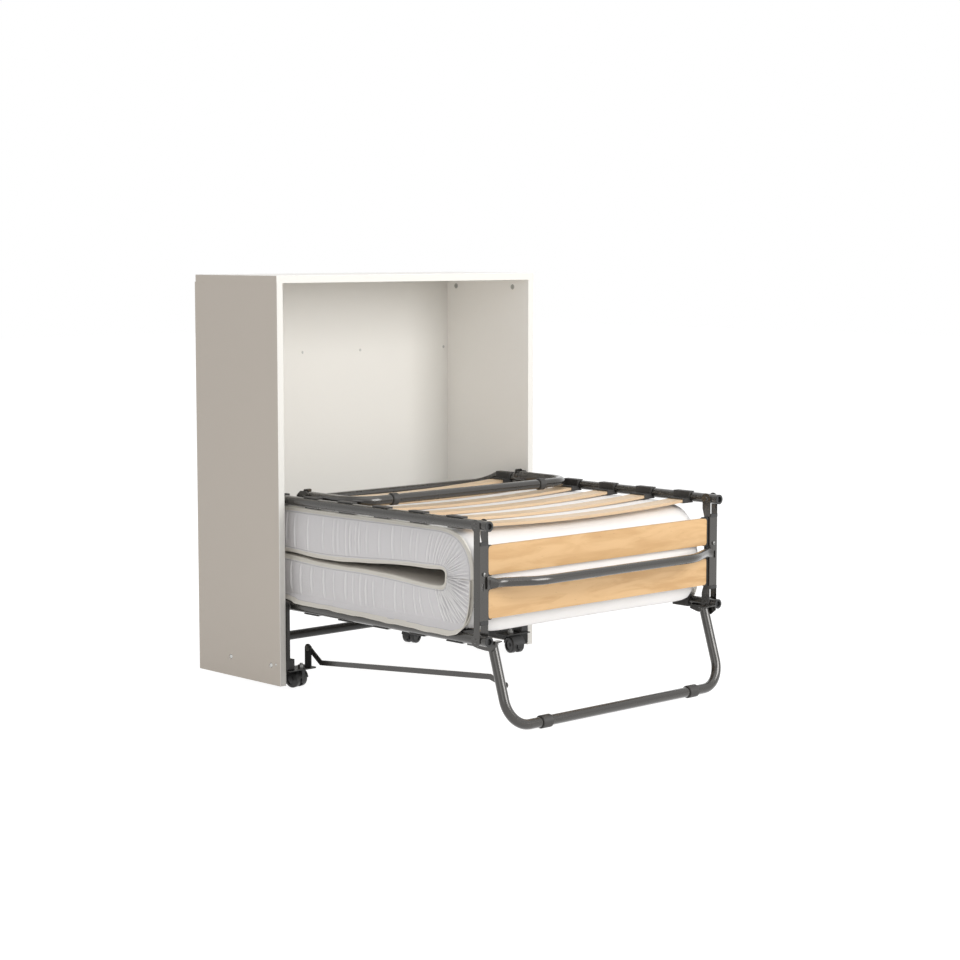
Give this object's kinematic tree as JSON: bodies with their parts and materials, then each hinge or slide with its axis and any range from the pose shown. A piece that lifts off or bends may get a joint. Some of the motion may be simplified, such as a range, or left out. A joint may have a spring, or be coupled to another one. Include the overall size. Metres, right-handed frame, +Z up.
{
  "type": "cabinet bed",
  "caption": "White open cabinet on casters with a folding guest bed pulled down from it: steel tube frame, birch slats, folded mattress, swing-down legs and a bow-shaped grab bar.",
  "frame": {"origin": "on the floor under the centre of the whole object's bounding box, bed pulled down and folded", "axes": "+Z up, +X to the right seen from the front, -Y towards the front, where the bed comes down"},
  "size_m": [0.915, 1.1364, 1.07],
  "materials": {
    "white_board": "white foil on particle board, satin",
    "bright_zinc": "zinc plated",
    "dark_zinc": "dull plated",
    "base_steel": "dark powder coat",
    "grey_steel": "gunmetal powder coat, semi-gloss",
    "black_plastic": "moulded",
    "dark_plastic": "moulded, fine grain",
    "wheel_plastic": "moulded",
    "birch": "clear lacquered veneer",
    "mattress_cloth": "woven mattress cover"
  },
  "bodies": {
    "cabinet": {"side_panel_left": "white_board", "side_panel_right": "white_board", "top_panel": "white_board", "back_panel": "white_board", "back_panel_screws": "bright_zinc", "cam_fittings": "bright_zinc", "panel_bolts": "bright_zinc", "side_plate_left": "base_steel", "side_plate_right": "base_steel", "foot_rail_left": "base_steel", "foot_rail_right": "base_steel", "foot_rail_end_caps": "black_plastic", "rear_cross_tube": "base_steel", "caster_plate_left": "base_steel", "caster_plate_right": "base_steel", "pivot_post_left": "base_steel", "pivot_post_right": "base_steel", "bed_pivot_pins": "dark_zinc", "stay_anchor_pin": "dark_zinc", "caster_stems": "dark_zinc", "stem_nuts": "dark_zinc"},
    "lower_section": {"lower_frame": "grey_steel", "lower_rail_caps": "black_plastic", "lower_slats": "birch", "lower_slat_holders": "dark_plastic", "lower_leg_brackets": "grey_steel", "lower_leg_pins": "dark_zinc", "mattress_lower": "mattress_cloth"},
    "lower_leg": {"lower_leg_tube": "grey_steel", "lower_leg_sleeves": "dark_plastic"},
    "stay": {"stay_bar": "grey_steel", "stay_leg_rivet": "dark_zinc"},
    "middle_link": {"link_channel_left": "grey_steel", "link_channel_right": "grey_steel", "web_edge_trims": "black_plastic", "hinge_rivets": "dark_zinc", "link_board_lower": "birch", "link_board_upper": "birch", "board_holders": "black_plastic", "bow_bar": "grey_steel", "mattress_fold": "mattress_cloth"},
    "upper_section": {"upper_frame": "grey_steel", "upper_rail_caps": "black_plastic", "upper_slats": "birch", "upper_slat_holders": "dark_plastic", "upper_leg_brackets": "grey_steel", "upper_leg_pins": "dark_zinc", "mattress_upper": "mattress_cloth"},
    "upper_leg": {"upper_leg_tube": "grey_steel", "upper_leg_sleeves": "dark_plastic"},
    "swivel_front_left": {"caster_hood_front_left": "black_plastic"},
    "wheels_front_left": {"caster_wheels_front_left": "wheel_plastic"},
    "swivel_front_right": {"caster_hood_front_right": "black_plastic"},
    "wheels_front_right": {"caster_wheels_front_right": "wheel_plastic"},
    "swivel_rear_left": {"caster_hood_rear_left": "black_plastic"},
    "wheels_rear_left": {"caster_wheels_rear_left": "wheel_plastic"},
    "swivel_rear_right": {"caster_hood_rear_right": "black_plastic"},
    "wheels_rear_right": {"caster_wheels_rear_right": "wheel_plastic"}
  },
  "joints": [
    {"name": "bed_fold", "type": "hinge", "parent": "cabinet", "child": "lower_section", "pos_m": [0, 0.22623, 0.22], "axis": [1, 0, 0], "range_deg": [-90, 0]},
    {"name": "lower_leg_fold", "type": "hinge", "parent": "lower_section", "child": "lower_leg", "pos_m": [0, -0.49277, 0.208], "axis": [1, 0, 0], "range_deg": [0, 101.09]},
    {"name": "stay_swing", "type": "hinge", "parent": "cabinet", "child": "stay", "pos_m": [0, 0.21324, 0.104], "axis": [1, 0, 0], "range_deg": [-88.6, 0]},
    {"name": "link_hinge", "type": "hinge", "parent": "lower_section", "child": "middle_link", "pos_m": [0, -0.48176, 0.22], "axis": [1, 0, 0], "range_deg": [0, 90]},
    {"name": "upper_hinge", "type": "hinge", "parent": "middle_link", "child": "upper_section", "pos_m": [0, -0.48176, 0.493], "axis": [1, 0, 0], "range_deg": [0, 90]},
    {"name": "upper_leg_fold", "type": "hinge", "parent": "upper_section", "child": "upper_leg", "pos_m": [0, 0.19523, 0.505], "axis": [-1, 0, 0], "range_deg": [0, 107.21]},
    {"name": "swivel_turn_front_left", "type": "hinge", "parent": "cabinet", "child": "swivel_front_left", "pos_m": [-0.38, 0.22823, 0.023], "axis": [0, 0, 1], "continuous": true},
    {"name": "wheel_spin_front_left", "type": "hinge", "parent": "swivel_front_left", "child": "wheels_front_left", "pos_m": [-0.38313, 0.24596, 0.023], "axis": [0.9848, 0.1736, 0], "continuous": true},
    {"name": "swivel_turn_front_right", "type": "hinge", "parent": "cabinet", "child": "swivel_front_right", "pos_m": [0.38, 0.22823, 0.023], "axis": [0, 0, 1], "continuous": true},
    {"name": "wheel_spin_front_right", "type": "hinge", "parent": "swivel_front_right", "child": "wheels_front_right", "pos_m": [0.37687, 0.21051, 0.023], "axis": [-0.9848, 0.1736, 0], "continuous": true},
    {"name": "swivel_turn_rear_left", "type": "hinge", "parent": "cabinet", "child": "swivel_rear_left", "pos_m": [-0.255, 0.52524, 0.023], "axis": [0, 0, 1], "continuous": true},
    {"name": "wheel_spin_rear_left", "type": "hinge", "parent": "swivel_rear_left", "child": "wheels_rear_left", "pos_m": [-0.27239, 0.52989, 0.023], "axis": [0.2588, 0.9659, 0], "continuous": true},
    {"name": "swivel_turn_rear_right", "type": "hinge", "parent": "cabinet", "child": "swivel_rear_right", "pos_m": [0.255, 0.52524, 0.023], "axis": [0, 0, 1], "continuous": true},
    {"name": "wheel_spin_rear_right", "type": "hinge", "parent": "swivel_rear_right", "child": "wheels_rear_right", "pos_m": [0.27239, 0.52989, 0.023], "axis": [0.2588, -0.9659, 0], "continuous": true}
  ],
  "couplings": [
    {"joint": "lower_leg_fold", "follows": "bed_fold", "ratio": -1.1231},
    {"joint": "stay_swing", "follows": "bed_fold", "ratio": 0.98428}
  ]
}
